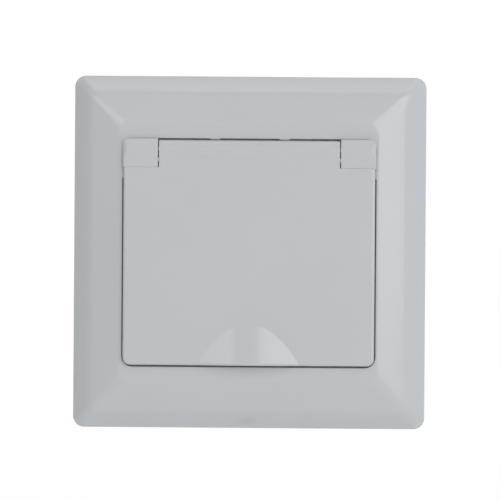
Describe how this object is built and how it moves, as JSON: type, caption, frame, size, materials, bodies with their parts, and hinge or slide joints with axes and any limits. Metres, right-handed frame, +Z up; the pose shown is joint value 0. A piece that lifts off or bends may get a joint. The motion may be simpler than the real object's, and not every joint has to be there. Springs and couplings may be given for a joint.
{
  "type": "flush wall socket with hinged lid",
  "caption": "Square flush-mounted earthed power socket: sloped bezel frame, sprung hinged lid with thumb grip over a round plug well, and an insulated base with claws.",
  "frame": {"origin": "middle of the wall-box screw slots, on the wall plane", "axes": "+X to the right seen from the room, +Y into the wall, +Z up"},
  "size_m": [0.085, 0.0448, 0.085],
  "materials": {
    "white_plastic": "glossy moulded",
    "base_plastic": "matt moulded",
    "plated_steel": "zinc plated",
    "spring_steel": "bright drawn",
    "brass": "stamped"
  },
  "bodies": {
    "root": {"frame": "white_plastic", "centre_plate": "white_plastic", "hinge_pin": "plated_steel", "lid_spring": "spring_steel", "support_plate": "plated_steel", "plate_rivets": "plated_steel", "socket_base": "base_plastic", "rear_cover": "base_plastic", "cover_screws": "plated_steel", "earth_strap": "plated_steel", "earth_terminal": "brass", "earth_rivet": "brass", "terminal_screws": "plated_steel", "clamp_plates": "plated_steel", "centre_screw": "plated_steel", "centre_nut": "brass", "contact_right": "brass", "contact_left": "brass", "contact_spring_right": "spring_steel", "contact_spring_left": "spring_steel"},
    "lid": {"lid": "white_plastic"},
    "claw_right": {"claw_right": "plated_steel"},
    "claw_left": {"claw_left": "plated_steel"},
    "claw_screw_right": {"claw_screw_right": "plated_steel"},
    "claw_screw_left": {"claw_screw_left": "plated_steel"}
  },
  "joints": [
    {"name": "lid_hinge", "type": "hinge", "parent": "root", "child": "lid", "pos_m": [0, -0.008, 0.0249], "axis": [-1, 0, 0], "range_deg": [0, 110], "stiffness_Nm_per_rad": 0.005, "springref_deg": -57.3, "deforming": ["lid_spring"]},
    {"name": "claw_tilt_right", "type": "hinge", "parent": "root", "child": "claw_right", "pos_m": [0.025, -0.00286, 0], "axis": [0, 0, -1], "range_deg": [0, 9]},
    {"name": "claw_tilt_left", "type": "hinge", "parent": "root", "child": "claw_left", "pos_m": [-0.025, -0.00286, 0], "axis": [0, 0, 1], "range_deg": [0, 9]},
    {"name": "claw_screw_turn_right", "type": "hinge", "parent": "claw_right", "child": "claw_screw_right", "pos_m": [0.025, -0.00286, 0], "axis": [0, 1, 0], "range_deg": [0, 2160]},
    {"name": "claw_screw_turn_left", "type": "hinge", "parent": "claw_left", "child": "claw_screw_left", "pos_m": [-0.025, -0.00286, 0], "axis": [0, 1, 0], "range_deg": [0, 2160]}
  ],
  "couplings": [
    {"joint": "claw_tilt_right", "follows": "claw_screw_turn_right", "ratio": 0.004166},
    {"joint": "claw_tilt_left", "follows": "claw_screw_turn_left", "ratio": 0.004166}
  ]
}
